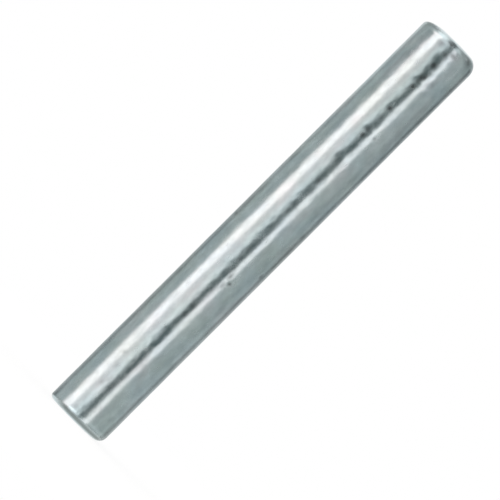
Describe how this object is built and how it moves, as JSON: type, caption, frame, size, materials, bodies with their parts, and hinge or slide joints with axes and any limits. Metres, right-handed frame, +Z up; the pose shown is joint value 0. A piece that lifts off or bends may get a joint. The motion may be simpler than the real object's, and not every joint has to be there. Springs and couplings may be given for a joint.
{
  "type": "socket retaining pin",
  "caption": "Plain round steel pin, plated all over, with a rounded nose and a square foot, that locks an impact socket onto its drive square.",
  "frame": {"origin": "centre of the foot face, the flat end that the pin stands on", "axes": "+Z up along the pin's axis from foot to nose; the pin is round, so X and Y are free"},
  "size_m": [0.003, 0.003, 0.023],
  "materials": {
    "zinc_plated_steel": "bright zinc plate over tumbled steel rod, clear passivated, satin bright"
  },
  "bodies": {
    "root": {"retaining_pin": "zinc_plated_steel"}
  },
  "joints": []
}
